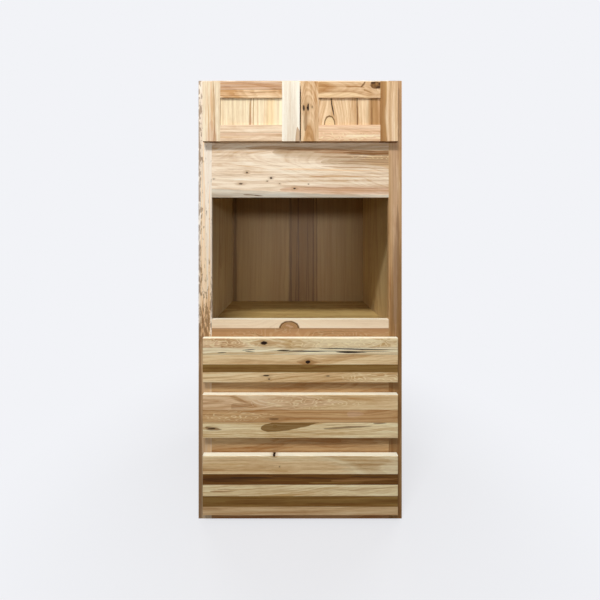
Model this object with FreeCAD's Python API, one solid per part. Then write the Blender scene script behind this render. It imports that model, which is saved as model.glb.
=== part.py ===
"""Tall oven cabinet in knotty hickory, with a face frame.

Two framed doors close a shallow cupboard at the top. Below a wide head rail is the open bay for a
built-in oven, whose shelf lies behind the sill rail. Three drawers with slab fronts fill the base.
Doors and drawer fronts overlay the face frame and stand proud of it. The doors hang on cup hinges
and the dovetailed drawer boxes run on two-part roller runners.

Millimetres, +Z up, the front faces -Y. The origin is on the floor, at the middle of the cabinet.
"""

import FreeCAD, Part
import math
import os

# Face frame, widths
OPENING_W = 730.0
STILE_W = 54.0
FRAME_T = 19.0

# Face frame, heights from the floor up
BOTTOM_RAIL_H = 45.0
LOWER_OPENING_H = 218.0
LOWER_RAIL_H = 95.0
MIDDLE_OPENING_H = 152.0
UPPER_RAIL_H = 73.0
UPPER_OPENING_H = 156.0
SILL_RAIL_H = 82.0
OVEN_OPENING_H = 503.0
HEAD_RAIL_H = 237.0
CUPBOARD_OPENING_H = 206.0
TOP_RAIL_H = 38.0
TENON_L = 20.0
TENON_T = 8.0
TENON_SHOULDER = 8.0

# Carcass
CARCASS_DEPTH = 610.0
SIDE_T = 12.7
SIDE_SETBACK = 3.0
SIDE_TONGUE = 6.0
DECK_T = 19.0
TOP_T = 12.7
TOP_RECESS = 12.0
BACK_T = 6.0
DADO_D = 6.0
HANGING_RAIL_T = 19.0
HANGING_RAIL_H = 90.0
SHELF_DROP = 59.0
CLEAT_W = 19.0
CLEAT_H = 38.0

# Doors and drawer fronts
FRONT_T = 19.0
FRONT_GAP = 3.0
SIDE_OVERLAY = 31.0
FRONT_OVERLAY = 12.0
DOOR_TOP_OVERLAY = 24.0
DOOR_GAP = 4.0
DOOR_STILE_W = 72.0
DOOR_RAIL_W = 66.0
PANEL_T = 6.4
PANEL_GROOVE = 10.0
PANEL_ROOM = 1.5
DOOR_EDGE_R = 2.0
DOOR_BACK_CHAMFER = 1.0
DRAWER_EDGE_R = 3.0

# Cup hinges
HINGE_INSET = 55.0
CUP_R = 17.5
CUP_DEPTH = 12.8
CUP_WALL = 0.9
POCKET_W = 14.0
CUP_EDGE = 3.0
CUP_FIT = 0.1
FLANGE_T = 1.2
EAR_W = 14.0
EAR_OFFSET = 9.5
EAR_REACH = 29.5
EAR_CORNER = 3.0
PIN_R = 1.3
PIN_FIT = 0.05
PIN_DEPTH = 9.5
SWING_CLEAR = 0.1
ARM_T = 1.6
ARM_H = 9.0
ARM_BEND_R = 2.4
EYE_WALL = 0.85
PLATE_H = 40.0
PLATE_MARGIN = 1.0

# Drawer boxes
BOX_T = 15.0
BOX_TOP_CLEAR = 22.0
BOX_SHORT = 17.0
BOX_BOTTOM_T = 6.0
BOX_BOTTOM_UP = 12.0
BOX_GROOVE = 6.0
DOVETAIL_LAP = 4.0
TAIL_PITCH = 36.0
TAIL_W = 19.0
TAIL_SLOPE = math.radians(8)

# Roller runners
RUNNER_SPACE = 12.7
RUNNER_STEP = 50.0
RUNNER_SETBACK = 2.0
RUNNER_T = 1.2
CHANNEL_CLEAR = 4.0
CHANNEL_DROP = 8.8
CHANNEL_ROOM = 1.0
CHANNEL_W = 10.1
RUN_CLEAR = 3.4
RUN_W = 9.5
LIP_W = 12.0
ROLLER_R = 9.0
ROLLER_W = 7.0
ROLLER_FIT = 0.05
ROLLER_SIDE = 0.5
ROLL_GAP = 0.25
ROLLER_INSET = 12.0
AXLE_R = 2.5
AXLE_PROUD = 1.0
NOTCH_CLEAR = 4.0
BRACKET_MIN = 20.0
BRACKET_WALL = 2.5
BRACKET_GRIP = 12.0
BRACKET_FIT = 0.2
BRACKET_TAB = 9.0
BRACKET_PLATE_T = 3.0

# Heights of the face frame
LOWER_OPENING_Z = BOTTOM_RAIL_H
LOWER_RAIL_Z = LOWER_OPENING_Z + LOWER_OPENING_H
MIDDLE_OPENING_Z = LOWER_RAIL_Z + LOWER_RAIL_H
UPPER_RAIL_Z = MIDDLE_OPENING_Z + MIDDLE_OPENING_H
UPPER_OPENING_Z = UPPER_RAIL_Z + UPPER_RAIL_H
SILL_RAIL_Z = UPPER_OPENING_Z + UPPER_OPENING_H
OVEN_OPENING_Z = SILL_RAIL_Z + SILL_RAIL_H
HEAD_RAIL_Z = OVEN_OPENING_Z + OVEN_OPENING_H
CUPBOARD_Z = HEAD_RAIL_Z + HEAD_RAIL_H
TOP_RAIL_Z = CUPBOARD_Z + CUPBOARD_OPENING_H
HEIGHT = TOP_RAIL_Z + TOP_RAIL_H
TOP_Z = HEIGHT - TOP_RECESS

# Planes across the width
OPENING_X = OPENING_W / 2
FRAME_X = OPENING_X + STILE_W
SIDE_OUT_X = FRAME_X - SIDE_SETBACK
SIDE_IN_X = SIDE_OUT_X - SIDE_T
HOUSED_X = SIDE_IN_X + DADO_D
FRONT_X = OPENING_X + SIDE_OVERLAY
BOX_X = OPENING_X - RUNNER_SPACE

# Planes from front to back
Y_FRONT = -(FRONT_T + FRONT_GAP + CARCASS_DEPTH) / 2
Y_FRONT_BACK = Y_FRONT + FRONT_T
Y_FRAME = Y_FRONT_BACK + FRONT_GAP
Y_FRAME_BACK = Y_FRAME + FRAME_T
Y_REAR = Y_FRAME + CARCASS_DEPTH
Y_BACK_REAR = Y_REAR - HANGING_RAIL_T
Y_BACK = Y_BACK_REAR - BACK_T

# Oven shelf, doors and runners
SHELF_Z = OVEN_OPENING_Z - SHELF_DROP - DECK_T
DOOR_Z0 = CUPBOARD_Z - FRONT_OVERLAY
DOOR_Z1 = TOP_RAIL_Z + DOOR_TOP_OVERLAY
DOOR_IN_X0 = -FRONT_X + DOOR_STILE_W
DOOR_IN_X1 = -DOOR_GAP / 2 - DOOR_STILE_W
PANEL_Y0 = Y_FRONT + (FRONT_T - PANEL_T) / 2
PANEL_Y1 = PANEL_Y0 + PANEL_T
HINGE_LEVELS = (DOOR_Z0 + HINGE_INSET, DOOR_Z1 - HINGE_INSET)

# The pin stands where the door's back corner just turns past the frame
PIN_INSET = math.sqrt((PIN_DEPTH + FRONT_GAP - SWING_CLEAR) ** 2 - PIN_DEPTH ** 2)
PIN_X = -FRONT_X + PIN_INSET
PIN_Y = Y_FRONT_BACK - PIN_DEPTH
CUP_X = -FRONT_X + max(CUP_EDGE + CUP_R, (PIN_INSET + SIDE_OVERLAY) / 2)
EYE_R = PIN_R + PIN_FIT + EYE_WALL

RUNNER_Y0 = Y_FRAME + RUNNER_SETBACK
RUNNER_L = RUNNER_STEP * int((Y_BACK - RUNNER_Y0 - BRACKET_MIN) // RUNNER_STEP)
RUNNER_Y1 = RUNNER_Y0 + RUNNER_L
BOX_Y0 = Y_FRONT_BACK
BOX_Y1 = BOX_Y0 + RUNNER_L - BOX_SHORT

# Runner heights above the lower edge of a drawer box
CHANNEL_FLOOR = -CHANNEL_DROP
CHANNEL_CEILING = CHANNEL_FLOOR + 2 * ROLLER_R + CHANNEL_ROOM
CHANNEL_BOTTOM = CHANNEL_FLOOR - RUNNER_T
CHANNEL_TOP = CHANNEL_CEILING + RUNNER_T
RUN_UNDER = CHANNEL_TOP + RUN_CLEAR
REAR_ROLLER_UP = CHANNEL_FLOOR + ROLL_GAP + ROLLER_R
FRONT_ROLLER_UP = RUN_UNDER - ROLL_GAP - ROLLER_R
FRONT_ROLLER_Y = RUNNER_Y0 + ROLLER_INSET
REAR_ROLLER_Y = BOX_Y1 - ROLLER_INSET
CHANNEL_IN = RUNNER_SPACE - CHANNEL_W
FRONT_ROLLER_OUT = RUNNER_SPACE - RUNNER_T - ROLLER_SIDE - ROLLER_W
REAR_ROLLER_OUT = RUNNER_T + ROLLER_SIDE

RAILS = {
    "bottom_rail": (0.0, BOTTOM_RAIL_H),
    "lower_drawer_rail": (LOWER_RAIL_Z, LOWER_RAIL_H),
    "upper_drawer_rail": (UPPER_RAIL_Z, UPPER_RAIL_H),
    "oven_sill_rail": (SILL_RAIL_Z, SILL_RAIL_H),
    "oven_head_rail": (HEAD_RAIL_Z, HEAD_RAIL_H),
    "top_rail": (TOP_RAIL_Z, TOP_RAIL_H),
}

DRAWERS = {
    "upper": (UPPER_OPENING_Z, UPPER_OPENING_H),
    "middle": (MIDDLE_OPENING_Z, MIDDLE_OPENING_H),
    "lower": (LOWER_OPENING_Z, LOWER_OPENING_H),
}

ALONG_X = FreeCAD.Vector(1, 0, 0)
ALONG_Y = FreeCAD.Vector(0, 1, 0)
ALONG_Z = FreeCAD.Vector(0, 0, 1)
ORIGIN = FreeCAD.Vector(0, 0, 0)
TINY = 1e-6


def board(x0, x1, y0, y1, z0, z1):
    """A square-edged board between six planes."""
    return Part.makeBox(x1 - x0, y1 - y0, z1 - z0, FreeCAD.Vector(x0, y0, z0))


def rod(radius, length, start, direction):
    """A round bar from a point along a direction."""
    return Part.makeCylinder(radius, length, FreeCAD.Vector(*start), direction)


def prism(points, run):
    """A closed outline of 3-D points, drawn out along a vector."""
    corners = [FreeCAD.Vector(*p) for p in points]
    outline = Part.makePolygon(corners + corners[:1])
    return Part.Face(outline).extrude(run)


def mirrored(shape):
    """The same shape on the other side of the cabinet's middle."""
    return shape.mirror(ORIGIN, ALONG_X)


def joined(pieces):
    """Overlapping or touching pieces as one solid."""
    return pieces[0].fuse(pieces[1:]).removeSplitter()


def without(shape, tools):
    """A shape with each of the tools cut out of it."""
    for tool in tools:
        shape = shape.cut(tool)
    return shape


def edges_on(shape, **planes):
    """Edges that lie wholly in each named plane, such as Y=12."""
    found = []
    for edge in shape.Edges:
        points = [v.Point for v in edge.Vertexes]
        flat = [abs(getattr(p, axis.lower()) - at) < TINY for p in points for axis, at in planes.items()]
        if all(flat):
            found.append(edge)
    return found


def save(name, *solids):
    """Write one node, a single solid or a group of like ones."""
    shape = solids[0] if len(solids) == 1 else Part.makeCompound(list(solids))
    shape.exportStep("parts/" + name + ".step")


# Face frame

def rail_tenon(z, height):
    """The tenon at a rail's left end, centred in the frame's thickness."""
    y0 = Y_FRAME + (FRAME_T - TENON_T) / 2
    return board(-OPENING_X - TENON_L, -OPENING_X, y0, y0 + TENON_T,
                 z + TENON_SHOULDER, z + height - TENON_SHOULDER)


def frame_rail(z, height):
    """A rail of the face frame, with a tenon at each end."""
    body = board(-OPENING_X, OPENING_X, Y_FRAME, Y_FRAME_BACK, z, z + height)
    tenon = rail_tenon(z, height)
    return joined([body, tenon, mirrored(tenon)])


def left_stile():
    """A stile with a mortise for each rail and a groove behind for the side panel."""
    body = board(-FRAME_X, -OPENING_X, Y_FRAME, Y_FRAME_BACK, 0, HEIGHT)
    groove = board(-SIDE_OUT_X, -SIDE_IN_X, Y_FRAME_BACK - SIDE_TONGUE, Y_FRAME_BACK, 0, HEIGHT)
    mortises = [rail_tenon(z, height) for z, height in RAILS.values()]
    return without(body, [groove] + mortises)


# Carcass

def deck(z, thickness, half_width):
    """A level panel from the face frame to the back."""
    return board(-half_width, half_width, Y_FRAME_BACK, Y_BACK, z, z + thickness)


def housed_panels():
    """The panels whose ends are let into the sides, by name."""
    return {
        "bottom_panel": deck(BOTTOM_RAIL_H - DECK_T, DECK_T, HOUSED_X),
        "cupboard_floor": deck(CUPBOARD_Z - DECK_T, DECK_T, HOUSED_X),
        "top_panel": deck(TOP_Z - TOP_T, TOP_T, HOUSED_X),
        "back_panel": board(-HOUSED_X, HOUSED_X, Y_BACK, Y_BACK_REAR, 0, TOP_Z),
    }


def left_side():
    """A side panel, housed for the level panels and grooved for the back."""
    body = board(-SIDE_OUT_X, -SIDE_IN_X, Y_FRAME_BACK - SIDE_TONGUE, Y_REAR, 0, HEIGHT)
    return without(body, housed_panels().values())


def hanging_rails():
    """Rails behind the back, flush with the rear edges of the sides."""
    lows = (0.0, SHELF_Z + (DECK_T - HANGING_RAIL_H) / 2, TOP_Z - HANGING_RAIL_H)
    return [board(-SIDE_IN_X, SIDE_IN_X, Y_BACK_REAR, Y_REAR, z, z + HANGING_RAIL_H) for z in lows]


def left_cleat():
    """The cleat on a side panel that carries one end of the oven shelf."""
    return board(-SIDE_IN_X, -SIDE_IN_X + CLEAT_W, Y_FRAME_BACK, Y_BACK, SHELF_Z - CLEAT_H, SHELF_Z)


# Doors, built as the left one

def door_groove(x0, x1, z0, z1):
    """The room that a groove in the door's frame takes, at the panel's place in the thickness."""
    return board(x0, x1, PANEL_Y0, PANEL_Y1, z0, z1)


def eased(shape, radius, **plane):
    """A door piece with one outer edge rounded along the front and chamfered along the back."""
    rounded = shape.makeFillet(radius, edges_on(shape, Y=Y_FRONT, **plane))
    return rounded.makeChamfer(DOOR_BACK_CHAMFER, edges_on(rounded, Y=Y_FRONT_BACK, **plane))


def door_stile(x_outer, x_inner):
    """A door stile with the panel groove along its inner edge."""
    side = math.copysign(1, x_inner - x_outer)
    body = board(min(x_outer, x_inner), max(x_outer, x_inner), Y_FRONT, Y_FRONT_BACK, DOOR_Z0, DOOR_Z1)
    body = eased(body, DOOR_EDGE_R, X=x_outer)
    depth = x_inner - side * PANEL_GROOVE
    return body.cut(door_groove(min(depth, x_inner), max(depth, x_inner), DOOR_Z0, DOOR_Z1))


def door_rail(z_outer, z_inner):
    """A door rail with a tongue at each end and the panel groove along its inner edge."""
    side = math.copysign(1, z_inner - z_outer)
    low = min(z_outer, z_inner)
    high = max(z_outer, z_inner)
    body = board(DOOR_IN_X0, DOOR_IN_X1, Y_FRONT, Y_FRONT_BACK, low, high)
    body = eased(body, DOOR_EDGE_R, Z=z_outer)
    tongues = door_groove(DOOR_IN_X0 - PANEL_GROOVE, DOOR_IN_X1 + PANEL_GROOVE, low, high)
    depth = z_inner - side * PANEL_GROOVE
    groove = door_groove(DOOR_IN_X0 - PANEL_GROOVE, DOOR_IN_X1 + PANEL_GROOVE, min(depth, z_inner),
                         max(depth, z_inner))
    return joined([body, tongues]).cut(groove)


def door_panel():
    """The flat panel, loose in its grooves so that it can move with the weather."""
    reach = PANEL_GROOVE - PANEL_ROOM
    return board(DOOR_IN_X0 - reach, DOOR_IN_X1 + reach, PANEL_Y0, PANEL_Y1,
                 DOOR_Z0 + DOOR_RAIL_W - reach, DOOR_Z1 - DOOR_RAIL_W + reach)


def left_door():
    """The wooden pieces of the left door, by name."""
    hinge_stile = door_stile(-FRONT_X, DOOR_IN_X0)
    bores = [rod(CUP_R + CUP_FIT, CUP_DEPTH, (CUP_X, Y_FRONT_BACK - CUP_DEPTH, z), ALONG_Y)
             for z in HINGE_LEVELS]
    return {
        "hinge_stile": without(hinge_stile, bores),
        "meeting_stile": door_stile(-DOOR_GAP / 2, DOOR_IN_X1),
        "top_rail": door_rail(DOOR_Z1, DOOR_Z1 - DOOR_RAIL_W),
        "bottom_rail": door_rail(DOOR_Z0, DOOR_Z0 + DOOR_RAIL_W),
        "panel": door_panel(),
    }


# Cup hinges, built for the left door

def hinge_cup(z):
    """The cup sunk in the door: a pocket for the arm with the pin across it, and two ears outside."""
    floor_y = Y_FRONT_BACK - CUP_DEPTH
    height = CUP_DEPTH + FLANGE_T
    outer = rod(CUP_R, height, (CUP_X, floor_y, z), ALONG_Y)
    half = EAR_W / 2
    outline = [(-half, -EAR_REACH + EAR_CORNER), (-half + EAR_CORNER, -EAR_REACH),
               (half - EAR_CORNER, -EAR_REACH), (half, -EAR_REACH + EAR_CORNER)]
    outline += [(across, -up) for across, up in reversed(outline)]
    ears = prism([(CUP_X + EAR_OFFSET + across, Y_FRONT_BACK, z + up) for across, up in outline],
                 ALONG_Y * FLANGE_T)
    round_room = rod(CUP_R - CUP_WALL, height, (CUP_X, floor_y + CUP_WALL, z), ALONG_Y)
    pocket = round_room.common(board(CUP_X - CUP_R, CUP_X + CUP_R, floor_y, floor_y + 2 * height,
                                     z - POCKET_W / 2, z + POCKET_W / 2))
    pin = rod(PIN_R, POCKET_W, (PIN_X, PIN_Y, z - POCKET_W / 2), ALONG_Z)
    return joined([without(joined([outer, ears]), [pocket]), pin])


def hinge_arm(z):
    """The arm from an eye on the pin, out of the cup and onto the inner edge of the frame stile."""
    low = z - ARM_H / 2
    deep_y = PIN_Y - EYE_R
    knuckle_x = -OPENING_X + ARM_T
    eye = rod(EYE_R, ARM_H, (PIN_X, PIN_Y, low), ALONG_Z)
    along = board(PIN_X, knuckle_x, deep_y, deep_y + ARM_T, low, low + ARM_H)
    out = board(-OPENING_X, knuckle_x, deep_y, Y_FRAME_BACK - PLATE_MARGIN, low, low + ARM_H)
    plate = board(-OPENING_X, knuckle_x, Y_FRAME + PLATE_MARGIN, Y_FRAME_BACK - PLATE_MARGIN,
                  z - PLATE_H / 2, z + PLATE_H / 2)
    strip = joined([eye, along, out, plate])
    strip = strip.makeFillet(ARM_BEND_R, edges_on(strip, X=knuckle_x, Y=deep_y))
    return without(strip, [rod(PIN_R + PIN_FIT, ARM_H, (PIN_X, PIN_Y, low), ALONG_Z)])


# Drawers

def box_heights(opening_z, opening_h):
    """Lower and upper edge of the drawer box in an opening."""
    low = opening_z + CHANNEL_CLEAR - CHANNEL_BOTTOM
    return low, opening_z + opening_h - BOX_TOP_CLEAR


def drawer_front(opening_z, opening_h):
    """The slab front, eased all round its face."""
    slab = board(-FRONT_X, FRONT_X, Y_FRONT, Y_FRONT_BACK,
                 opening_z - FRONT_OVERLAY, opening_z + opening_h + FRONT_OVERLAY)
    return slab.makeFillet(DRAWER_EDGE_R, edges_on(slab, Y=Y_FRONT))


def tails(low, high, shoulder_y, end_y):
    """The dovetails at one end of the left drawer side."""
    count = max(2, int((high - low) // TAIL_PITCH))
    pitch = (high - low) / count
    flare = abs(end_y - shoulder_y) * math.tan(TAIL_SLOPE)
    made = []
    for i in range(count):
        middle = low + (i + 0.5) * pitch
        root = TAIL_W / 2
        made.append(prism([
            (-BOX_X, shoulder_y, middle - root),
            (-BOX_X, end_y, middle - root - flare),
            (-BOX_X, end_y, middle + root + flare),
            (-BOX_X, shoulder_y, middle + root),
        ], ALONG_X * BOX_T))
    return made


def drawer_box(opening_z, opening_h):
    """The box behind a drawer front, by name: dovetailed at the front, its back let into the sides."""
    low, high = box_heights(opening_z, opening_h)
    front_in = BOX_Y0 + BOX_T
    back_in = BOX_Y1 - BOX_T
    side_in = BOX_X - BOX_T
    housed = side_in + BOX_GROOVE
    bottom_z = low + BOX_BOTTOM_UP
    bottom = board(-housed, housed, front_in - BOX_GROOVE, back_in + BOX_GROOVE,
                   bottom_z, bottom_z + BOX_BOTTOM_T)
    front = board(-BOX_X, BOX_X, BOX_Y0, front_in, low, high)
    back = board(-housed, housed, back_in, BOX_Y1, low, high)
    front_tails = tails(low, high, front_in, BOX_Y0 + DOVETAIL_LAP)
    side = joined([board(-BOX_X, -side_in, front_in, BOX_Y1, low, high)] + front_tails)
    side = without(side, [back, bottom])
    return {
        "box_front": without(front, front_tails + [mirrored(t) for t in front_tails] + [bottom]),
        "box_back": back.cut(bottom),
        "left_side": side,
        "right_side": mirrored(side),
        "bottom": bottom,
    }


# Roller runners, built for the right side. Heights are from the drawer box's lower edge, and
# distances run outward from the drawer box's side.

def profile(points, y0, y1, base_z):
    """A rolled section of (outward, up) points, drawn out from front to back."""
    return prism([(BOX_X + out, y0, base_z + up) for out, up in points], ALONG_Y * (y1 - y0))


def axle(y, z, root, end):
    """A roller's axle, standing on a runner's web."""
    return rod(AXLE_R, abs(end - root), (BOX_X + root, y, z), ALONG_X * math.copysign(1, end - root))


def drawer_member(low):
    """The member on the drawer: a lip under the side, a web and the run that rides the front roller."""
    t = RUNNER_T
    section = profile([(-LIP_W, -t), (t, -t), (t, RUN_UNDER), (RUN_W, RUN_UNDER), (RUN_W, RUN_UNDER + t),
                       (0, RUN_UNDER + t), (0, 0), (-LIP_W, 0)], BOX_Y0, BOX_Y1, low)
    return joined([section, axle(REAR_ROLLER_Y, low + REAR_ROLLER_UP, t,
                                 REAR_ROLLER_OUT + ROLLER_W + AXLE_PROUD)])


def cabinet_member(low):
    """The channel on the cabinet, notched at the front for its own roller."""
    t = RUNNER_T
    web = RUNNER_SPACE - t
    section = profile([(CHANNEL_IN, CHANNEL_BOTTOM), (RUNNER_SPACE, CHANNEL_BOTTOM),
                       (RUNNER_SPACE, CHANNEL_TOP), (CHANNEL_IN, CHANNEL_TOP),
                       (CHANNEL_IN, CHANNEL_CEILING), (web, CHANNEL_CEILING),
                       (web, CHANNEL_FLOOR), (CHANNEL_IN, CHANNEL_FLOOR)], RUNNER_Y0, RUNNER_Y1, low)
    notch = board(BOX_X, BOX_X + web, RUNNER_Y0, FRONT_ROLLER_Y + ROLLER_R + NOTCH_CLEAR,
                  low + CHANNEL_CEILING, low + CHANNEL_TOP)
    return joined([section.cut(notch), axle(FRONT_ROLLER_Y, low + FRONT_ROLLER_UP, web,
                                            FRONT_ROLLER_OUT - AXLE_PROUD)])


def roller(y, z, out):
    """A nylon roller, loose on its axle."""
    place = (BOX_X + out, y, z)
    return rod(ROLLER_R, ROLLER_W, place, ALONG_X).cut(rod(AXLE_R + ROLLER_FIT, ROLLER_W, place, ALONG_X))


def rear_bracket(low):
    """The moulded socket on the back panel that holds the rear end of a channel."""
    grip_y = RUNNER_Y1 - BRACKET_GRIP
    plate_y = Y_BACK - BRACKET_PLATE_T
    out0 = CHANNEL_IN - BRACKET_FIT - BRACKET_WALL
    out1 = RUNNER_SPACE + BRACKET_FIT + BRACKET_WALL
    up0 = CHANNEL_BOTTOM - BRACKET_FIT - BRACKET_WALL
    up1 = CHANNEL_TOP + BRACKET_FIT + BRACKET_WALL
    socket = board(BOX_X + out0, BOX_X + out1, grip_y, Y_BACK, low + up0, low + up1)
    plate = board(BOX_X + out0 - BRACKET_TAB, BOX_X + out1, plate_y, Y_BACK,
                  low + up0, low + up1 + BRACKET_TAB)
    pocket = board(BOX_X + CHANNEL_IN - BRACKET_FIT, BOX_X + RUNNER_SPACE + BRACKET_FIT, grip_y, RUNNER_Y1,
                   low + CHANNEL_BOTTOM - BRACKET_FIT, low + CHANNEL_TOP + BRACKET_FIT)
    return joined([socket, plate]).cut(pocket)


def pair(shape):
    """A right-hand piece and its left-hand twin."""
    return [shape, mirrored(shape)]


os.makedirs("parts", exist_ok=True)

for name, (z, height) in RAILS.items():
    save(name, frame_rail(z, height))
stile = left_stile()
save("left_stile", stile)
save("right_stile", mirrored(stile))

side = left_side()
save("left_side_panel", side)
save("right_side_panel", mirrored(side))
for name, shape in housed_panels().items():
    save(name, shape)
save("oven_shelf", deck(SHELF_Z, DECK_T, SIDE_IN_X))
save("hanging_rails", *hanging_rails())
save("shelf_cleats", *pair(left_cleat()))

for name, shape in left_door().items():
    save("left_door_" + name, shape)
    save("right_door_" + name, mirrored(shape))
cups = [hinge_cup(z) for z in HINGE_LEVELS]
arms = [hinge_arm(z) for z in HINGE_LEVELS]
save("left_hinge_cups", *cups)
save("right_hinge_cups", *[mirrored(shape) for shape in cups])
save("hinge_arms", *arms, *[mirrored(shape) for shape in arms])

channels = []
brackets = []
for name, (opening_z, opening_h) in DRAWERS.items():
    box_low = box_heights(opening_z, opening_h)[0]
    save(name + "_drawer_front", drawer_front(opening_z, opening_h))
    for piece, shape in drawer_box(opening_z, opening_h).items():
        save(name + "_drawer_" + piece, shape)
    save(name + "_drawer_runners", *pair(drawer_member(box_low)))
    front_roller = roller(FRONT_ROLLER_Y, box_low + FRONT_ROLLER_UP, FRONT_ROLLER_OUT)
    rear_roller = roller(REAR_ROLLER_Y, box_low + REAR_ROLLER_UP, REAR_ROLLER_OUT)
    save(name + "_front_rollers", *pair(front_roller))
    save(name + "_rear_rollers", *pair(rear_roller))
    channels += pair(cabinet_member(box_low))
    brackets += pair(rear_bracket(box_low))
save("cabinet_runners", *channels)
save("runner_brackets", *brackets)
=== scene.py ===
"""Oven cabinet in unfinished knotty hickory: its woods, fittings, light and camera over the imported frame.

Sizes are in metres, or in millimetres where a value is multiplied by MM. Places on a board are in
millimetres along the grain and across it, from the board's left lower corner as seen from the front.
"""
import math
from collections import namedtuple

import bpy
import numpy as np
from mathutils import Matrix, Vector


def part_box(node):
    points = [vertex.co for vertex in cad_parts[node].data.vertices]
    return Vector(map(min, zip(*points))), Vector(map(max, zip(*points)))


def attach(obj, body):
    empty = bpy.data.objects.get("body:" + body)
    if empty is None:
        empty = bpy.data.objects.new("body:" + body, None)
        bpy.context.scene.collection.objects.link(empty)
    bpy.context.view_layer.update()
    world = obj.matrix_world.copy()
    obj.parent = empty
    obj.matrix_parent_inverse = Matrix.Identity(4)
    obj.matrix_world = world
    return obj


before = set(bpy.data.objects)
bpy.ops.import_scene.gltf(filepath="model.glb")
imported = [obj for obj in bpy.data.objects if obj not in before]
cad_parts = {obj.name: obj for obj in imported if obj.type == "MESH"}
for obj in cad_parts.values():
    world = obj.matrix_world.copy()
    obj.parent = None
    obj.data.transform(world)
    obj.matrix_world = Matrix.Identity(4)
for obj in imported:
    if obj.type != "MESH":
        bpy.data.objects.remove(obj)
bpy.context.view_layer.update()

MM = 0.001
DRAWERS = ("upper", "middle", "lower")


# Tones of the wood from pale to dark, written as they look in plain light

def tone(red, green, blue):
    """A colour written from 0 to 255, in the renderer's linear units."""
    parts = np.array([red, green, blue]) / 255
    linear = np.where(parts <= 0.04045, parts / 12.92, ((parts + 0.055) / 1.055) ** 2.4)
    return (*linear.tolist(), 1.0)


WHITE_SAP = tone(254, 247, 230)
# Painted highlight: the near-white tone laid on faces that look up, where light from above falls
PAINTED_TOP_HIGHLIGHT = tone(255, 250, 228)
SHELL = tone(255, 242, 224)
IVORY = tone(255, 243, 208)
CURL = tone(255, 238, 192)
HONEY_CREAM = tone(254, 236, 200)
HONEY = tone(255, 236, 190)
ROSE_CREAM = tone(253, 234, 208)
CREAM = tone(248, 231, 200)
BLUSH = tone(255, 230, 196)
BUTTER = tone(246, 226, 184)
PINK = tone(250, 225, 194)
PEACH = tone(248, 216, 174)
STRAW = tone(244, 215, 167)
SALMON = tone(246, 208, 170)
GOLD = tone(236, 202, 160)
GREY_GOLD = tone(220, 186, 140)
GREY_SAP = tone(210, 198, 178)
ROSE = tone(216, 180, 148)
TAN = tone(215, 173, 122)
GREY_TAN = tone(202, 175, 142)
RAIL_TAN = tone(198, 159, 112)
RED_TAN = tone(192, 146, 102)
HEART = tone(180, 135, 84)
UMBER = tone(160, 122, 80)
GREY_UMBER = tone(158, 130, 98)
OLIVE = tone(142, 109, 58)
GLUE = tone(120, 84, 50)
BROWN = tone(116, 78, 34)
BURL = tone(72, 46, 22)
BARK = tone(40, 23, 12)

BIRCH = tone(232, 209, 168)
RIGHT_VENEER = tone(228, 202, 148)
LEFT_VENEER = tone(226, 207, 168)
# The deck veneer and the back's veneers below are darker and more olive than the wood: painted shade of the
# cabinet's inside
DECK_VENEER = tone(202, 174, 112)
DARK_SIDE = tone(200, 168, 120)
VENEER = tone(170, 138, 88)
DARK_VENEER = tone(156, 122, 74)
STRIP_VENEER = tone(140, 106, 58)
SHADED_VENEER = tone(108, 76, 36)

# Inner faces of the back and the decks keep darker, more olive veneer tones, painted shade of the
# cabinet's inside. An outer face's colour is multiplied by this, which lifts that painted shade off.
OUTSIDE_SHADE_LIFT = (1.5, 1.6, 2.0, 1.0)

BACKGROUND = tone(242, 243, 247)


# Node trees

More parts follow.
